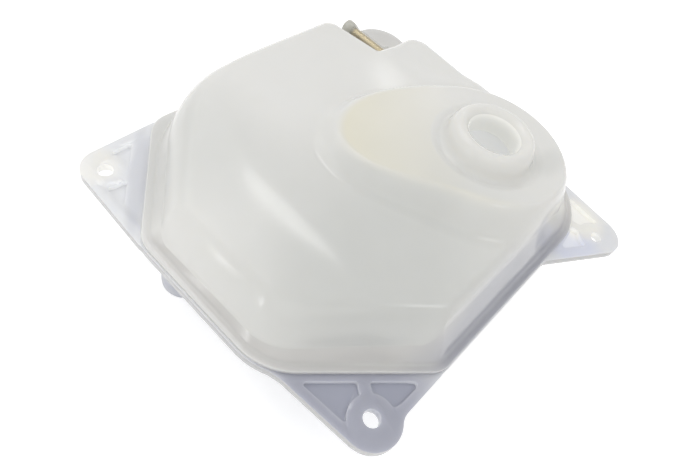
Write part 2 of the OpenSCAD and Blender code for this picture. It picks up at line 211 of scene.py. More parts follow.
WALL_IN = inset(SEAM, [RIM_W] * len(SEAM))
WALL_FOOT = [
    WALL_IN[0],
    WALL_IN[1],
    WALL_IN[2],
    WALL_IN[3],
    Vector((RECESS_X, WALL_IN[4].y)),
    Vector((RECESS_X, RECESS_Y)),
    Vector((WALL_IN[6].x, RECESS_Y - RECESS_SKEW)),
    WALL_IN[7],
]


def main_z(p):
    """Height of the main top, which falls to the front."""
    ridge = RIDGE_Y + RIDGE_BEND * (p.x - RIDGE_MID) ** 2
    sink = SINK_D * soft_step((SINK_R - (p - SINK).length) / SINK_W)
    return TOP_H - RIDGE_FALL * soft_ramp(ridge - p.y, RIDGE_SOFT) - sink


def dome_edge(a):
    """Reach of the dome from the neck's axis, in the direction a in degrees."""
    sharp = NOSE_LEFT if a % 360 < NOSE_A else NOSE_FRONT
    flat = DOME_FLAT * ((1 + math.cos(math.radians(a - FLAT_A))) / 2) ** 2
    nose = NOSE_L * ((1 + math.cos(math.radians(a - NOSE_A))) / 2) ** sharp
    return DOME_R - flat + nose


def dome_top(p):
    """Height of the dome, which falls along its nose."""
    return DOME_H - NOSE_FALL * soft_ramp((p - NECK).dot(NOSE) - COLLAR_R, COLLAR_R / 2)


def bearing(p):
    """Direction of a point from the neck's axis, in degrees."""
    return math.degrees(math.atan2(p.y - NECK.y, p.x - NECK.x))


def surface_z(p, w):
    """Height of the top and the dome, on the outside (w is 0) or the inside (w is the wall)."""
    share = min(max((dome_edge(bearing(p)) - w + SKIRT_W - (p - NECK).length) / SKIRT_W, 0), 1)
    return mix(main_z(p), dome_top(p), soft_step(share**SKIRT_TAIL)) - w


def warmth(p):
    """How yellow the dome looks: its nose, and a line along its front edge."""
    a = bearing(p) % 360
    depth = dome_edge(a) - (p - NECK).length
    along = min(max(((p - NECK).dot(NOSE) - WARM_START) / WARM_RUN, 0), 1)
    tip = along * soft_step((depth + TIP_INSET) / TIP_FADE)
    stretch = soft_step((a - NOSE_A) / LINE_START_FADE) * soft_step((LINE_END - a) / LINE_END_FADE)
    return max(tip, LINE_AMOUNT * math.exp(-((depth / LINE_W) ** 2)) * stretch)


def wall_ring(w, share):
    """Outline of the walls' top (share 0), up to the shoulder's inner end (share 1)."""
    d = [w + lean + width * share for lean, width in zip(LEAN, SHOULDER_W)]
    return rounded(inset(WALL_FOOT, d), [max(t - share * CORNER_LOSS, CORNER_MIN) for t in WALL_ROUND])


def shoulder_ring(w, a):
    """The ring at the angle a of the shoulder's round."""
    cos_start = math.cos(math.radians(SHOULDER_START))
    sin_start = math.sin(math.radians(SHOULDER_START))
    points = wall_ring(w, 1 - math.cos(math.radians(a)) / cos_start)
    share = (1 - math.sin(math.radians(a))) / (1 - sin_start)
    return [(p.x, p.y, surface_z(p, w) - fall * share) for p, fall in zip(points, spread(SHOULDER_H))]


def level(points, z):
    """The outline at one height."""
    return [(p.x, p.y, z) for p in points]


def between(ring_a, ring_b, s):
    """The ring at the share s of the way from one ring to another."""
    return [tuple(mix(u, v, s) for u, v in zip(a, b)) for a, b in zip(ring_a, ring_b)]


def neck_ring(directions, r, z):
    """A circle round the neck's axis, with a point in each direction."""
    return [(NECK.x + u.x * r, NECK.y + u.y * r, z) for u in directions]


def upper_face(w, foot, shoulder_angles, wall_shares, field_rings):
    """Rings of the moulding's outside or inside, from the foot to the valley, and their directions from the neck."""
    rings = [foot]
    first = shoulder_ring(w, shoulder_angles[0])
    rings.extend(between(foot, first, share) for share in wall_shares)
    rings.append(first)
    rings.extend(shoulder_ring(w, a) for a in shoulder_angles[1:])
    outer = wall_ring(w, 1)
    valley_r = COLLAR_R + VALLEY_W
    for i in range(1, field_rings + 1):
        s = i / field_rings
        ring = []
        for p in outer:
            q = mix(p, NECK + (p - NECK).normalized() * valley_r, s)
            ring.append((q.x, q.y, surface_z(q, w)))
        rings.append(ring)
    return rings, [(p - NECK).normalized() for p in outer]


def loft(name, rings, closed):
    """A mesh of quads over rings of equal count."""
    n = len(rings[0])
    rows = len(rings)
    verts = [(x * MM, y * MM, z * MM) for ring in rings for x, y, z in ring]
    faces = []
    for i in range(rows if closed else rows - 1):
        above = (i + 1) % rows
        for j in range(n):
            k = (j + 1) % n
            faces.append((i * n + j, i * n + k, above * n + k, above * n + j))
    mesh = bpy.data.meshes.new(name)
    mesh.from_pydata(verts, [], faces)
    mesh.update()
    obj = bpy.data.objects.new(name, mesh)
    bpy.context.collection.objects.link(obj)
    return obj


def alone(obj):
    """Makes obj the only selected and the active object."""
    bpy.ops.object.select_all(action="DESELECT")
    obj.select_set(True)
    bpy.context.view_layer.objects.active = obj


def edit_all(obj):
    """Opens obj in edit mode with all of it selected."""
    alone(obj)
    bpy.ops.object.mode_set(mode="EDIT")
    bpy.ops.mesh.select_all(action="SELECT")


def bevelled(obj, width, segments, angle):
    """Rounds the edges sharper than angle, with a modifier that is applied."""
    alone(obj)
    bevel = obj.modifiers.new("edge round", "BEVEL")
    bevel.width = width * MM
    bevel.segments = segments
    bevel.limit_method = "ANGLE"
    bevel.angle_limit = math.radians(angle)
    bevel.miter_outer = "MITER_ARC"
    bpy.ops.object.modifier_apply(modifier=bevel.name)


def smooth(obj, angle):
    """Shades obj smooth but for the edges sharper than angle."""
    alone(obj)
    bpy.ops.object.shade_smooth_by_angle(angle=math.radians(angle))


def drawn_tube(name, start, axis, stations, sides=64):
    """A tube drawn out ring by ring: stations are pairs of the distance along the axis and the radius."""
    axis = Vector(axis).normalized()
    turn = Vector((0, 0, 1)).rotation_difference(axis).to_euler()
    along, radius = stations[0]
    centre = (Vector(start) + axis * along) * MM
    bpy.ops.object.select_all(action="DESELECT")
    bpy.ops.mesh.primitive_circle_add(vertices=sides, radius=radius * MM, location=centre, rotation=turn)
    obj = bpy.context.object
    obj.name = obj.data.name = name
    bpy.ops.object.transform_apply(location=True, rotation=True, scale=True)
    bpy.ops.object.mode_set(mode="EDIT")
    bpy.ops.mesh.select_all(action="SELECT")
    for next_along, next_radius in stations[1:]:
        step = axis * (next_along - along) * MM
        bpy.ops.mesh.extrude_edges_move(TRANSFORM_OT_translate={"value": step})
        centre = centre + step
        k = next_radius / radius
        bpy.ops.transform.resize(value=(k, k, k), center_override=centre)
        along, radius = next_along, next_radius
    bpy.ops.mesh.select_all(action="DESELECT")
    bpy.ops.mesh.select_non_manifold()
    bpy.ops.mesh.bridge_edge_loops()
    bpy.ops.mesh.select_all(action="SELECT")
    bpy.ops.mesh.normals_make_consistent(inside=False)
    bpy.ops.object.mode_set(mode="OBJECT")
    return obj


def mark_points(obj, name, amounts):
    """Writes an attribute that the materials read, one amount for each vertex."""
    attribute = obj.data.attributes.new(name, "FLOAT", "POINT")
    attribute.data.foreach_set("value", amounts + [0.0] * (len(obj.data.vertices) - len(amounts)))


def mark_faces(obj, name, amount):
    """Writes an attribute that the materials read, with amount(face) for each face."""
    attribute = obj.data.attributes.new(name, "FLOAT", "FACE")
    attribute.data.foreach_set("value", [float(amount(face)) for face in obj.data.polygons])


def within(corners, x, y):
    """Whether a point lies inside an outline."""
    inside = False
    for i, a in enumerate(corners):
        b = at(corners, i + 1)
        if (a[1] > y) != (b[1] > y) and x < a[0] + (y - a[1]) * (b[0] - a[0]) / (b[1] - a[1]):
            inside = not inside
    return inside


def cad_copy(node, name):
    """A merged copy of a CAD node's mesh."""
    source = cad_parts[node]
    mesh = source.data.copy()
    mesh.name = name
    mesh.materials.clear()
    obj = bpy.data.objects.new(name, mesh)
    bpy.context.collection.objects.link(obj)
    edit_all(obj)
    bpy.ops.mesh.remove_doubles(threshold=0.002 * MM)
    bpy.ops.mesh.dissolve_limited(angle_limit=math.radians(0.6))
    bpy.ops.object.mode_set(mode="OBJECT")
    return obj


# Materials -------------------------------------------------------------------------------------------------


def socket(group, name, kind, in_out="INPUT", value=None):
    """Adds a socket to a node group."""
    item = group.interface.new_socket(name=name, in_out=in_out, socket_type=kind)
    if value is not None:
        item.default_value = value


def place_mask_group():
    """A soft round mask in object coordinates: 1 inside the radius round the centre, 0 past the edge."""
    g = bpy.data.node_groups.new("place mask", "ShaderNodeTree")
    socket(g, "Centre", "NodeSocketVector")
    socket(g, "Stretch", "NodeSocketVector", value=(1, 1, 1))
    socket(g, "Turn", "NodeSocketFloat", value=0)
    socket(g, "Radius", "NodeSocketFloat", value=0.03)
    socket(g, "Edge", "NodeSocketFloat", value=0.03)
    socket(g, "Mask", "NodeSocketFloat", "OUTPUT")
    n, ln = g.nodes, g.links
    gi, go = n.new("NodeGroupInput"), n.new("NodeGroupOutput")
    tc = n.new("ShaderNodeTexCoord")
    sub = n.new("ShaderNodeVectorMath")
    sub.operation = "SUBTRACT"
    turned = n.new("ShaderNodeVectorRotate")
    turned.rotation_type = "Z_AXIS"
    mul = n.new("ShaderNodeVectorMath")
    mul.operation = "MULTIPLY"
    length = n.new("ShaderNodeVectorMath")
    length.operation = "LENGTH"
    outer = n.new("ShaderNodeMath")
    outer.operation = "ADD"
    ramp = n.new("ShaderNodeMapRange")
    ramp.interpolation_type = "SMOOTHSTEP"
    ramp.inputs["To Min"].default_value = 1
    ramp.inputs["To Max"].default_value = 0
    ln.new(tc.outputs["Object"], sub.inputs[0])
    ln.new(gi.outputs["Centre"], sub.inputs[1])
    ln.new(sub.outputs[0], turned.inputs["Vector"])
    ln.new(gi.outputs["Turn"], turned.inputs["Angle"])
    ln.new(turned.outputs[0], mul.inputs[0])
    ln.new(gi.outputs["Stretch"], mul.inputs[1])
    ln.new(mul.outputs[0], length.inputs[0])
    ln.new(gi.outputs["Radius"], outer.inputs[0])
    ln.new(gi.outputs["Edge"], outer.inputs[1])
    ln.new(length.outputs["Value"], ramp.inputs["Value"])
    ln.new(gi.outputs["Radius"], ramp.inputs["From Min"])
    ln.new(outer.outputs[0], ramp.inputs["From Max"])
    ln.new(ramp.outputs["Result"], go.inputs["Mask"])


def cloud_group():
    """Uneven milkiness of natural plastic: a slow colour drift, a roughness drift and a faint ripple."""
    g = bpy.data.node_groups.new("milky cloud", "ShaderNodeTree")
    socket(g, "Tone", "NodeSocketColor", value=(0.7, 0.7, 0.68, 1))
    socket(g, "Drift", "NodeSocketFloat", value=0.03)
    socket(g, "Roughness", "NodeSocketFloat", value=0.3)
    socket(g, "Colour", "NodeSocketColor", "OUTPUT")
    socket(g, "Roughness", "NodeSocketFloat", "OUTPUT")
    socket(g, "Height", "NodeSocketFloat", "OUTPUT")
    n, ln = g.nodes, g.links
    gi, go = n.new("NodeGroupInput"), n.new("NodeGroupOutput")
    tc = n.new("ShaderNodeTexCoord")
    slow = n.new("ShaderNodeTexNoise")
    slow.inputs["Scale"].default_value = 18
    slow.inputs["Detail"].default_value = 3
    fine = n.new("ShaderNodeTexNoise")
    fine.inputs["Scale"].default_value = 60
    fine.inputs["Detail"].default_value = 2
    drift = n.new("ShaderNodeMapRange")
    low, high = n.new("ShaderNodeMath"), n.new("ShaderNodeMath")
    low.operation, high.operation = "SUBTRACT", "ADD"
    low.inputs[0].default_value = high.inputs[0].default_value = 1
    tint = n.new("ShaderNodeVectorMath")
    tint.operation = "SCALE"
    rough = n.new("ShaderNodeMath")
    rough.operation = "MULTIPLY_ADD"
    rough.inputs[1].default_value = 0.06
    ln.new(tc.outputs["Object"], slow.inputs["Vector"])
    ln.new(tc.outputs["Object"], fine.inputs["Vector"])
    ln.new(gi.outputs["Drift"], low.inputs[1])
    ln.new(gi.outputs["Drift"], high.inputs[1])
    ln.new(slow.outputs["Fac"], drift.inputs["Value"])
    ln.new(low.outputs[0], drift.inputs["To Min"])
    ln.new(high.outputs[0], drift.inputs["To Max"])
    drift.inputs["From Min"].default_value = 0.3
    drift.inputs["From Max"].default_value = 0.7
    ln.new(gi.outputs["Tone"], tint.inputs[0])
    ln.new(drift.outputs["Result"], tint.inputs["Scale"])
    ln.new(tint.outputs[0], go.inputs["Colour"])
    ln.new(fine.outputs["Fac"], rough.inputs[0])
    ln.new(gi.outputs["Roughness"], rough.inputs[2])
    ln.new(rough.outputs[0], go.inputs["Roughness"])
    ln.new(slow.outputs["Fac"], go.inputs["Height"])


def shader(name):
    """A new material and its shader."""
    mat = bpy.data.materials.new(name)
    mat.use_nodes = True
    return mat, mat.node_tree.nodes["Principled BSDF"]


def masked(tree, colour, tone, centre, stretch, radius, edge, strength, turn=0):
    """Mixes a tone into the colour inside a soft place."""
    n, ln = tree.nodes, tree.links
    mask = n.new("ShaderNodeGroup")
    mask.node_tree = bpy.data.node_groups["place mask"]
    mask.inputs["Centre"].default_value = [v * MM for v in centre]
    mask.inputs["Stretch"].default_value = stretch
    mask.inputs["Turn"].default_value = math.radians(turn)
    mask.inputs["Radius"].default_value = radius * MM
    mask.inputs["Edge"].default_value = edge * MM
    amount = n.new("ShaderNodeMath")
    amount.operation = "MULTIPLY"
    amount.inputs[1].default_value = strength
    blend = n.new("ShaderNodeMix")
    blend.data_type = "RGBA"
    ln.new(mask.outputs["Mask"], amount.inputs[0])
    ln.new(amount.outputs[0], blend.inputs["Factor"])
    if isinstance(colour, bpy.types.NodeSocket):
        ln.new(colour, blend.inputs["A"])
    else:
        blend.inputs["A"].default_value = (*colour, 1)
    blend.inputs["B"].default_value = (*tone, 1)
    return blend.outputs["Result"]


def seen_ray(tree):
    """1 for the rays that show something to the camera, directly, mirrored or through clear plastic."""
    rays = tree.nodes.new("ShaderNodeLightPath")
    seen = rays.outputs["Is Camera Ray"]
    for kind in ("Is Glossy Ray", "Is Transmission Ray"):
        either = tree.nodes.new("ShaderNodeMath")
        either.operation = "MAXIMUM"
        tree.links.new(seen, either.inputs[0])
        tree.links.new(rays.outputs[kind], either.inputs[1])
        seen = either.outputs[0]
    return seen


def milky(name, base, places, settings, bands):
    """Natural translucent plastic: a base tone with soft places of painted light, painted shade and other tones,
    scattered light and satin gloss.

    Each place is a tone, its centre, stretch, radius, edge and strength, and maybe a turn in degrees. Each band is
    an attribute of the piece, the tone where that is 1, and places within that tone.
    """
    mat, bsdf = shader(name)
    tree = mat.node_tree
    colour = base
    for place in places:
        colour = masked(tree, colour, *place)
    for attribute, tone, spots in bands:
        where = tree.nodes.new("ShaderNodeAttribute")
        where.attribute_name = attribute
        blend = tree.nodes.new("ShaderNodeMix")
        blend.data_type = "RGBA"
        blend.inputs["B"].default_value = (*tone, 1)
        for spot in spots:
            tone = masked(tree, tone, *spot)
            tree.links.new(tone, blend.inputs["B"])
        tree.links.new(where.outputs["Fac"], blend.inputs["Factor"])
        tree.links.new(colour, blend.inputs["A"])
        colour = blend.outputs["Result"]
    cloud = tree.nodes.new("ShaderNodeGroup")
    cloud.node_tree = bpy.data.node_groups["milky cloud"]
    cloud.inputs["Drift"].default_value = settings.drift
    cloud.inputs["Roughness"].default_value = settings.gloss_roughness
    if isinstance(colour, bpy.types.NodeSocket):
        tree.links.new(colour, cloud.inputs["Tone"])
    else:
        cloud.inputs["Tone"].default_value = (*colour, 1)
    bump = tree.nodes.new("ShaderNodeBump")
    bump.inputs["Strength"].default_value = 0.15
    bump.inputs["Distance"].default_value = 0.002
    tree.links.new(cloud.outputs["Colour"], bsdf.inputs["Base Color"])
    tree.links.new(cloud.outputs["Roughness"], bsdf.inputs["Roughness"])
    tree.links.new(cloud.outputs["Height"], bump.inputs["Height"])
    tree.links.new(bump.outputs["Normal"], bsdf.inputs["Normal"])
    bsdf.inputs["Subsurface Weight"].default_value = 0.8
    bsdf.inputs["Subsurface Radius"].default_value = (1.0, 0.97, 0.9)
    bsdf.inputs["Subsurface Scale"].default_value = 0.006
    bsdf.inputs["IOR"].default_value = 1.49
    # Daylight that soaks through the walls into the tank
    inside = tree.nodes.new("ShaderNodeAttribute")
    inside.attribute_name = "inside"
    light = tree.nodes.new("ShaderNodeMix")
    light.data_type = "RGBA"
    light.inputs["A"].default_value = (0, 0, 0, 1)
    light.inputs["B"].default_value = (0.85, 0.85, 0.82, 1)
    tree.links.new(inside.outputs["Fac"], light.inputs["Factor"])
    tree.links.new(light.outputs["Result"], bsdf.inputs["Emission Color"])
    bsdf.inputs["Emission Strength"].default_value = settings.inner_light


class TankFinish(bpy.types.PropertyGroup):
    """Colours, painted light and painted shade, and finish of the tank's pieces."""

    milk: bpy.props.FloatVectorProperty(
        name="Milky plastic", description="Tone of the upper shell", subtype="COLOR", default=(0.80, 0.795, 0.77)
    )
    warm: bpy.props.FloatVectorProperty(
        name="Warm plastic", description="Tone of the dome, aged by the coolant", subtype="COLOR",
        default=(0.80, 0.77, 0.66)
    )
    cool: bpy.props.FloatVectorProperty(
        name="Cool plastic", description="Tone of the lower shell and its lugs", subtype="COLOR",
        default=(0.80, 0.81, 0.83)
    )
    deep: bpy.props.FloatVectorProperty(
        name="Deep plastic", description="Tone of the front lug and the outlet, in the tank's shade", subtype="COLOR",
        default=(0.445, 0.455, 0.525)
    )
    # Painted shade on the top's front and left fields, the valley, the left shoulder and the neck's bore
    shade: bpy.props.FloatVectorProperty(
        name="Shaded plastic", description="Tone of the top over the deep part of the tank", subtype="COLOR",
        default=(0.62, 0.63, 0.615)
    )
    # Painted shade: the walls below the shoulder are drawn darker than the top
    band: bpy.props.FloatVectorProperty(
        name="Wall", description="Tone of the walls below the shoulder", subtype="COLOR",
        default=(0.64, 0.63, 0.615)
    )
    # Painted light on the collar, on the left lug's boss and in the rear lug's pocket
    bright: bpy.props.FloatVectorProperty(
        name="Bright plastic", description="Tone of the lugs' lightest places", subtype="COLOR",
        default=(0.93, 0.91, 0.85)
    )
    # Painted shade along the flange plate's outer edge
    edge: bpy.props.FloatVectorProperty(
        name="Plate's edge", description="Tone of the flange plate's edge", subtype="COLOR",
        default=(0.56, 0.56, 0.56)
    )
    # Painted shade in the front lug's recessed pockets
    pocket_shade: bpy.props.FloatVectorProperty(
        name="Pockets", description="Tone of the front lug's pockets", subtype="COLOR",
        default=(0.40, 0.415, 0.49)
    )
    # Painted shade on the right wall and its rim
    right_wall_shade: bpy.props.FloatVectorProperty(
        name="Right wall", description="Tone of the right wall and its rim", subtype="COLOR",
        default=(0.45, 0.455, 0.50)
    )
    lilac: bpy.props.FloatVectorProperty(
        name="Lilac plastic", description="Tone of the thin places that the light passes", subtype="COLOR",
        default=(0.74, 0.765, 0.88)
    )
    brass: bpy.props.FloatVectorProperty(
        name="Brass", description="Tone of the vent's sleeve", subtype="COLOR",
        default=(0.56, 0.47, 0.29)
    )
    inner_light: bpy.props.FloatProperty(
        name="Light inside", description="Light that soaks through the walls into the tank",
        default=0.2, min=0, max=1
    )
    drift: bpy.props.FloatProperty(
        name="Cloudiness", description="Unevenness of the plastic's tone", subtype="FACTOR",
        default=0.02, min=0, max=0.1
    )
    gloss_roughness: bpy.props.FloatProperty(
        name="Roughness", description="Roughness of the plastic's satin gloss", subtype="FACTOR",
        default=0.1, min=0.02, max=0.6
    )
    edge_round: bpy.props.FloatProperty(
        name="Edge round", description="Radius of the moulding's edges", unit="LENGTH",
        default=0.0005, min=0.0001, max=0.001
    )


class TankStage(bpy.types.PropertyGroup):
    """Floor and light."""

    floor_tone: bpy.props.FloatVectorProperty(
        name="Floor", description="Colour of the floor", subtype="COLOR", default=(0.9, 0.9, 0.9)
    )
    floor_size: bpy.props.FloatProperty(
        name="Floor size", description="Side of the square floor", unit="LENGTH", default=12.0, min=2, max=30
    )
    sky: bpy.props.FloatProperty(
        name="Sky", description="Strength of the even light from all round", default=0.68, min=0, max=1.5
    )
    key: bpy.props.FloatProperty(
        name="Lamps", description="Power that all the lamps take their share of", subtype="POWER",
        default=4.0, min=0, max=60
    )


def dress(obj, mat, slot_name, *nodes):
    """Gives a finished piece its material and its body, and hides the CAD nodes that it stands for; the slot's name
    is not used.
    """
    obj.data.materials.clear()
    obj.data.materials.append(mat)
    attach(obj, "root")
    if nodes:
        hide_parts(*nodes)


class TANK_OT_materials(bpy.types.Operator):
    """Makes the materials and their shared effects"""

    bl_idname = "tank.materials"
    bl_label = "Materials"

    def execute(self, context):
        finish = context.scene.tank_finish
        place_mask_group()
        cloud_group()
        # Painted shade on the top's front and left fields, in the valley right of the collar, on the left shoulder
        # and in the neck's bore, and painted light on the collar
        upper_places = [
            (finish.shade, (-42, 45, 38), (1, 1, 1), 20, 90, 0.85),
            (finish.shade, (-130, 30, 38), (1, 1, 1), 5, 40, 0.3),
            (finish.shade, (-25, 158, 58), (1, 0.5, 1), 3, 8, 0.45),
            (finish.shade, (-165, 20, 22), (1, 1, 1), 15, 45, 0.5),
            (finish.bright, (-54.5, 138, 66), (1, 1, 1), 24, 6, 0.15),
            (finish.shade, (-54.5, 138, 58), (1, 1, 0.5), 14, 3, 0.5),
        ]
        # Painted shade on the walls below the shoulder, darkest on the right wall; the dome's own yellow tint
        bands = [
            ("painted shade band", finish.band, [(finish.right_wall_shade, (12, 110, 10), (1, 0.42, 1), 22, 22, 1.0)]),
            ("warmth", finish.warm, []),
        ]
        milky("milky plastic", finish.milk, upper_places, finish, bands)
        # Painted shade on the front lug, the outlet, the front lug's pockets and a strip of the left lug by the wall,
        # painted light on the left lug's boss and in the rear lug's pocket, and a lilac tint where light passes the
        # rear lug's low part
        lower_places = [
            (finish.deep, (-14, 0, 2), (1, 1, 1), 22, 44, 1.0),
            (finish.deep, (-135.5, 0.5, -36), (1, 1, 1), 16, 14, 0.5),
            (finish.pocket_shade, (-10, 0, 0), (0.04, 0.04, 1), 2.6, 0.5, 1.0),
            (finish.lilac, (18, 182, 2), (1, 1, 1), 10, 14, 0.8),
            (finish.deep, (-177.5, -1, 2), (0.12, 1, 1), 4, 3, 0.3, 39.3),
            (finish.bright, (-198, -14, 2), (1, 1, 1), 8, 10, 0.7),
            (finish.bright, (8, 208, 2), (1, 1, 1), 10, 12, 1.0),
        ]
        # Painted shade along the plate's outer edge
        bands = [("painted shade band", finish.edge, [])]
        milky("lower plastic", finish.cool, lower_places, finish, bands)
        # The nipple is clear but for its bead
        mat, bsdf = shader("clear plastic")
        tree = mat.node_tree
        bead = tree.nodes.new("ShaderNodeGroup")
        bead.node_tree = bpy.data.node_groups["place mask"]
        bead.inputs["Centre"].default_value = ((VENT_ROOT - VENT_L) * MM, VENT_Y * MM, VENT_Z * MM)
        bead.inputs["Radius"].default_value = 7 * MM
        bead.inputs["Edge"].default_value = 3 * MM
        cover = tree.nodes.new("ShaderNodeMapRange")
        cover.inputs["To Min"].default_value = 0.16
        cover.inputs["To Max"].default_value = 0.72
        tree.links.new(bead.outputs["Mask"], cover.inputs["Value"])
        tree.links.new(cover.outputs["Result"], bsdf.inputs["Alpha"])
        bsdf.inputs["Base Color"].default_value = (0.58, 0.57, 0.50, 1)
        bsdf.inputs["Roughness"].default_value = 0.12
        bsdf.inputs["IOR"].default_value = 1.49
        mat, bsdf = shader("drawn brass")
        bsdf.inputs["Base Color"].default_value = (*finish.brass, 1)
        bsdf.inputs["Metallic"].default_value = 1
        bsdf.inputs["Roughness"].default_value = 0.22
        return {"FINISHED"}


class TANK_OT_upper_shell(bpy.types.Operator):
    """Moulds the upper shell: rim, walls, shoulders, top, dome, valley and the neck's collar"""

    bl_idname = "tank.upper_shell"
    bl_label = "Upper shell"

    def execute(self, context):
        seam = rounded(SEAM, SEAM_ROUND)
        last = SHOULDER_RINGS - 1
        angles = [SHOULDER_START + (90 - SHOULDER_START) * i / last for i in range(SHOULDER_RINGS)]
        foot = level(rounded(WALL_FOOT, WALL_ROUND), RIM_Z)
        outer, directions = upper_face(0, foot, angles, WALL_SHARES, FIELD_RINGS)
        rim = level(seam, RIM_Z)
        before, after = between(rim, foot, FILLET_START), outer[1]
        rings = [level(seam, SEAM_Z), level(seam, RIM_Z - RIM_EDGE), rim, between(rim, foot, RIM_FLAT), before]
        for s in FILLET_SHARES:
            rings.append(between(between(before, foot, s), between(foot, after, s), s))
        # Painted shade on the rim, the walls and the shoulders, for each edge and ring
        band, fade = spread(WALL_SHADE), spread(BAND_FADE)
        shares = FOOT_BAND + WALL_BAND + SHOULDER_BAND
        dark = [b * mix(crisp, fading, f) for crisp, fading in shares for b, f in zip(band, fade)]
        rings += outer[1:]
        yellow = [warmth(Vector((x, y))) if z > WARM_Z else 0.0 for ring in rings for x, y, z in ring]
        valley_r, floor_r = COLLAR_R + VALLEY_W, COLLAR_R + VALLEY_FLOOR_W
        for i in range(1, VALLEY_RINGS + 1):
            r = mix(valley_r, floor_r, i / VALLEY_RINGS)
            down = VALLEY_D * soft_step(i / VALLEY_RINGS)
            circle = neck_ring(directions, r, 0)
            rings.append([(x, y, dome_top(Vector((x, y))) - down) for x, y, _ in circle])
        root = DOME_H - VALLEY_D - WALL
        side_z, top = DOME_H + COLLAR_SIDE_H, DOME_H + COLLAR_H
        lip_z = top - COLLAR_LIP_H
        side = []
        for a in COLLAR_ANGLES:
            up, out = math.sin(math.radians(a)), math.cos(math.radians(a))
            side.append(neck_ring(directions, mix(CREST_R, COLLAR_R, out), mix(side_z, top, up)))
        bend = neck_ring(directions, COLLAR_R + COLLAR_FILLET, DOME_H - VALLEY_D + COLLAR_FILLET)
        valley_floor = rings[-1]
        for i in range(1, COLLAR_FILLET_RINGS):
            s = i / COLLAR_FILLET_RINGS
            rings.append(between(between(valley_floor, bend, s), between(bend, side[0], s), s))
        rings += side
        for a in LIP_ANGLES:
            up, out = math.sin(math.radians(a)), math.cos(math.radians(a))
            rings.append(neck_ring(directions, mix(CREST_R, BORE_R, out), mix(lip_z, top, up)))
        rings.extend(neck_ring(directions, BORE_R, mix(lip_z, root, s)) for s in BORE_SHARES)
        inner_foot = level(rounded(inset(WALL_FOOT, [WALL] * len(WALL_FOOT)), WALL_ROUND), SEAM_Z)
        inner, _ = upper_face(WALL, inner_foot, INNER_ANGLES, INNER_SHARES, INNER_FIELD_RINGS)
        rings.append(neck_ring(directions, floor_r, root))
        rings.extend(reversed(inner))
        obj = loft("upper_shell_skin", rings, True)
        first_inside = (len(rings) - len(inner) - LIT_BORE_ROWS) * len(seam)
        mark_faces(obj, "inside", lambda face: face.index >= first_inside)
        # Painted shade on the rim and the walls
        mark_points(obj, "painted shade band", dark)
        mark_points(obj, "warmth", yellow)
        edit_all(obj)
        bpy.ops.mesh.normals_make_consistent(inside=False)
        bpy.ops.object.mode_set(mode="OBJECT")
        bevelled(obj, context.scene.tank_finish.edge_round / MM, 2, 55)
        smooth(obj, 45)
        dress(obj, bpy.data.materials["milky plastic"], "upper_plastic", "upper_shell")
        return {"FINISHED"}


class TANK_OT_lower_shell(bpy.types.Operator):
    """Finishes the lower shell: the flange plate with its lugs, the pan and the outlet spigot"""

    bl_idname = "tank.lower_shell"
    bl_label = "Lower shell"

    def execute(self, context):
        obj = cad_copy("lower_shell", "lower_shell_skin")
        mouth = inset(SEAM, [RIM_W - 0.2] * len(SEAM))
        centre = Vector(TANK_CENTRE) * MM

        def upright(face):
            return abs(face.normal.z) < 0.9 and face.center.z > 0.3 * MM

        def outermost(face):
            x, y, _ = face.center / MM
            beside = face.center + face.normal * PROBE * MM
            in_hole = any(math.hypot(x - u, y - v) < LUG_CLEAR for u, v in LUG_HOLES)
            return not in_hole and not obj.ray_cast((beside.x, beside.y, RAY_HEIGHT), (0, 0, -1))[0]

        def lit(face):
            x, y, z = face.center / MM
            if not within(mouth, x, y):
                if upright(face):
                    return 0 if outermost(face) else EDGE_GLOW
                return THIN_GLOW if 0.3 < z < SEAM_Z - 0.5 and x > THIN_X else 0
            in_spigot = math.hypot(x - OUTLET_X, y - OUTLET_Y) < OUTLET_CLEAR and z < OUTLET_TOP
            return not in_spigot and face.normal.dot(centre - face.center) > 0

        mark_faces(obj, "inside", lit)
        # Painted shade on the plate's outer edge faces
        mark_faces(obj, "painted shade band", lambda face: upright(face) and outermost(face))
        bevelled(obj, context.scene.tank_finish.edge_round / MM, 2, 50)
        smooth(obj, 35)
        dress(obj, bpy.data.materials["lower plastic"], "lower_plastic", "lower_shell")
        return {"FINISHED"}


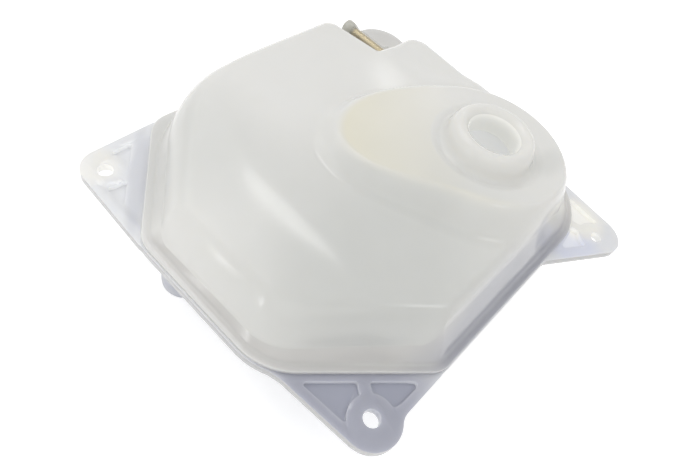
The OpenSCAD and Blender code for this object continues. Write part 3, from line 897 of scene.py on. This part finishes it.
class TANK_OT_vent(bpy.types.Operator):
    """Draws the clear vent nipple and the brass sleeve inside it"""

    bl_idname = "tank.vent"
    bl_label = "Vent nipple and sleeve"

    def execute(self, context):
        start = (VENT_ROOT, VENT_Y, VENT_Z)
        bead, sleeve_end, seat_r = VENT_L - BEAD_L, VENT_L - SLEEVE_SHORT, SLEEVE_R + SLEEVE_GAP
        root = [(-NIPPLE_SUNK, 6.4), (0, 6.0), (0.8, 5.0), (2.2, 4.4), (4, VENT_R), (bead - BEAD_TAPER, VENT_R)]
        tip = [(bead - 0.6, BEAD_R - 0.12), (bead, BEAD_R), (VENT_L - 0.8, BEAD_R), (VENT_L - 0.2, BEAD_R - 0.3)]
        mouth = [(VENT_L, BEAD_R - 0.9), (VENT_L, NIPPLE_BORE_R + 0.5), (VENT_L - 0.4, NIPPLE_BORE_R + 0.1)]
        bore = [(VENT_L - 1, NIPPLE_BORE_R), (sleeve_end, NIPPLE_BORE_R)]
        seat = [(sleeve_end, seat_r), (-NIPPLE_SUNK, seat_r)]
        nipple = drawn_tube("vent_nipple_tube", start, (-1, 0, 0), root + tip + mouth + bore + seat)
        smooth(nipple, 40)
        dress(nipple, bpy.data.materials["clear plastic"], "upper_plastic")
        end, bore_r = sleeve_end - SLEEVE_GAP, SLEEVE_R - SLEEVE_WALL
        outside = [(-WALL, SLEEVE_R), (end - SLEEVE_CHAMFER, SLEEVE_R), (end, SLEEVE_R - SLEEVE_CHAMFER)]
        inside = [(end, bore_r + SLEEVE_CHAMFER), (end - SLEEVE_CHAMFER, bore_r), (-WALL, bore_r)]
        sleeve = drawn_tube("vent_sleeve_tube", start, (-1, 0, 0), outside + inside)
        smooth(sleeve, 40)
        dress(sleeve, bpy.data.materials["drawn brass"], "sleeve_brass", "vent_sleeve")
        return {"FINISHED"}


class TANK_OT_stage(bpy.types.Operator):
    """Sets the floor, the studio light and the camera"""

    bl_idname = "tank.stage"
    bl_label = "Studio"

    def execute(self, context):
        stage = context.scene.tank_stage
        low = min(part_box(node)[0][2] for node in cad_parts)
        bpy.ops.object.select_all(action="DESELECT")
        bpy.ops.mesh.primitive_plane_add(size=stage.floor_size, location=(0, 0, low))
        floor = bpy.context.object
        floor.name = "floor"
        mat, bsdf = shader("pale floor")
        bsdf.inputs["Base Color"].default_value = (*stage.floor_tone, 1)
        bsdf.inputs["Roughness"].default_value = 0.9
        tree = mat.node_tree
        glow = tree.nodes.new("ShaderNodeMath")
        glow.operation = "MULTIPLY"
        glow.inputs[1].default_value = 0.45
        tree.links.new(seen_ray(tree), glow.inputs[0])
        bsdf.inputs["Emission Color"].default_value = (1, 1, 1, 1)
        tree.links.new(glow.outputs[0], bsdf.inputs["Emission Strength"])
        floor.data.materials.append(mat)

        world = bpy.data.worlds.new("studio")
        context.scene.world = world
        world.use_nodes = True
        tree = world.node_tree
        background = tree.nodes["Background"]
        background.inputs["Color"].default_value = (1, 1, 1, 1)
        strength = tree.nodes.new("ShaderNodeMix")
        strength.inputs["A"].default_value = stage.sky
        strength.inputs["B"].default_value = 1
        tree.links.new(seen_ray(tree), strength.inputs["Factor"])
        tree.links.new(strength.outputs["Result"], background.inputs["Strength"])

        # Each lamp's place, its length along a direction, its width and its share of the power
        for name, place, size, width, along, share in (
            ("window", (-0.60, 0.39, 1.17), 0.50, 0.15, (0.41, 0.10, 0.13), 0.17),
            ("soft left", (-1.1, -0.2, 1.2), 1.5, 1.5, (1, 0, 0), 0.93),
            ("soft front", (0.7, -1.2, 0.9), 1.5, 1.5, (1, 0, 0), 0.6),
            ("spot front left", (-0.64, -1.19, 0.2), 0.05, 0.42, (1, 0, 0), 0.08),
            ("spot front right", (-0.37, -1.26, 0.2), 0.09, 0.46, (1, 0, 0), 0.16),
            ("spot right", (0.82, -0.07, 1.04), 0.36, 0.42, (0.54, -0.26, -0.54), 0.2),
            ("spot back", (-0.63, 1.08, 0.80), 0.12, 0.05, (1, 0, 0), 0.012),
        ):
            bpy.ops.object.light_add(type="AREA", location=place)
            lamp = bpy.context.object
            lamp.name = name
            lamp.data.shape = "ELLIPSE"
            lamp.data.size = size
            lamp.data.size_y = width
            lamp.data.energy = stage.key * share
            back = (Vector(place) - Vector(LAMP_AIM)).normalized()
            side = (Vector(along) - back * back.dot(Vector(along))).normalized()
            lamp.rotation_euler = Matrix((side, back.cross(side), back)).transposed().to_euler()
            lamp.visible_camera = False

        # The camera's axes and place in metres, as fitted to the photo
        bpy.ops.object.camera_add()
        camera = bpy.context.object
        camera.name = "camera"
        right, up, back = (0.7082, 0.6625, 0.2439), (-0.654, 0.4855, 0.5801), (0.266, -0.5704, 0.7771)
        place = (0.00541, -0.11271, 0.25369)
        camera.matrix_world = Matrix([(*row, p) for row, p in zip(zip(right, up, back), place)] + [(0, 0, 0, 1)])
        camera.data.lens = 28.8
        camera.data.sensor_width = 36
        camera.data.clip_start = 0.01
        context.scene.camera = camera
        context.scene.view_settings.view_transform = "Standard"
        return {"FINISHED"}


class TANK_PT_sidebar(bpy.types.Panel):
    """Shows the tank's finish and stage settings and a button for each step"""

    bl_label = "Coolant expansion tank"
    bl_idname = "TANK_PT_sidebar"
    bl_space_type = "VIEW_3D"
    bl_region_type = "UI"
    bl_category = "Tank"

    def draw(self, context):
        layout = self.layout
        for group in (context.scene.tank_finish, context.scene.tank_stage):
            for name in group.__annotations__:
                layout.prop(group, name)
        for step in STEPS:
            layout.operator(step.bl_idname)


STEPS = (TANK_OT_materials, TANK_OT_upper_shell, TANK_OT_lower_shell, TANK_OT_vent, TANK_OT_stage)
CLASSES = (TankFinish, TankStage, *STEPS, TANK_PT_sidebar)


def register():
    for cls in CLASSES:
        bpy.utils.register_class(cls)
    bpy.types.Scene.tank_finish = bpy.props.PointerProperty(type=TankFinish)
    bpy.types.Scene.tank_stage = bpy.props.PointerProperty(type=TankStage)


def unregister():
    del bpy.types.Scene.tank_stage
    del bpy.types.Scene.tank_finish
    for cls in reversed(CLASSES):
        bpy.utils.unregister_class(cls)


def main():
    register()
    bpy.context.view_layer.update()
    bpy.ops.tank.materials()
    bpy.ops.tank.upper_shell()
    bpy.ops.tank.lower_shell()
    bpy.ops.tank.vent()
    bpy.ops.tank.stage()


if __name__ == "__main__":
    main()
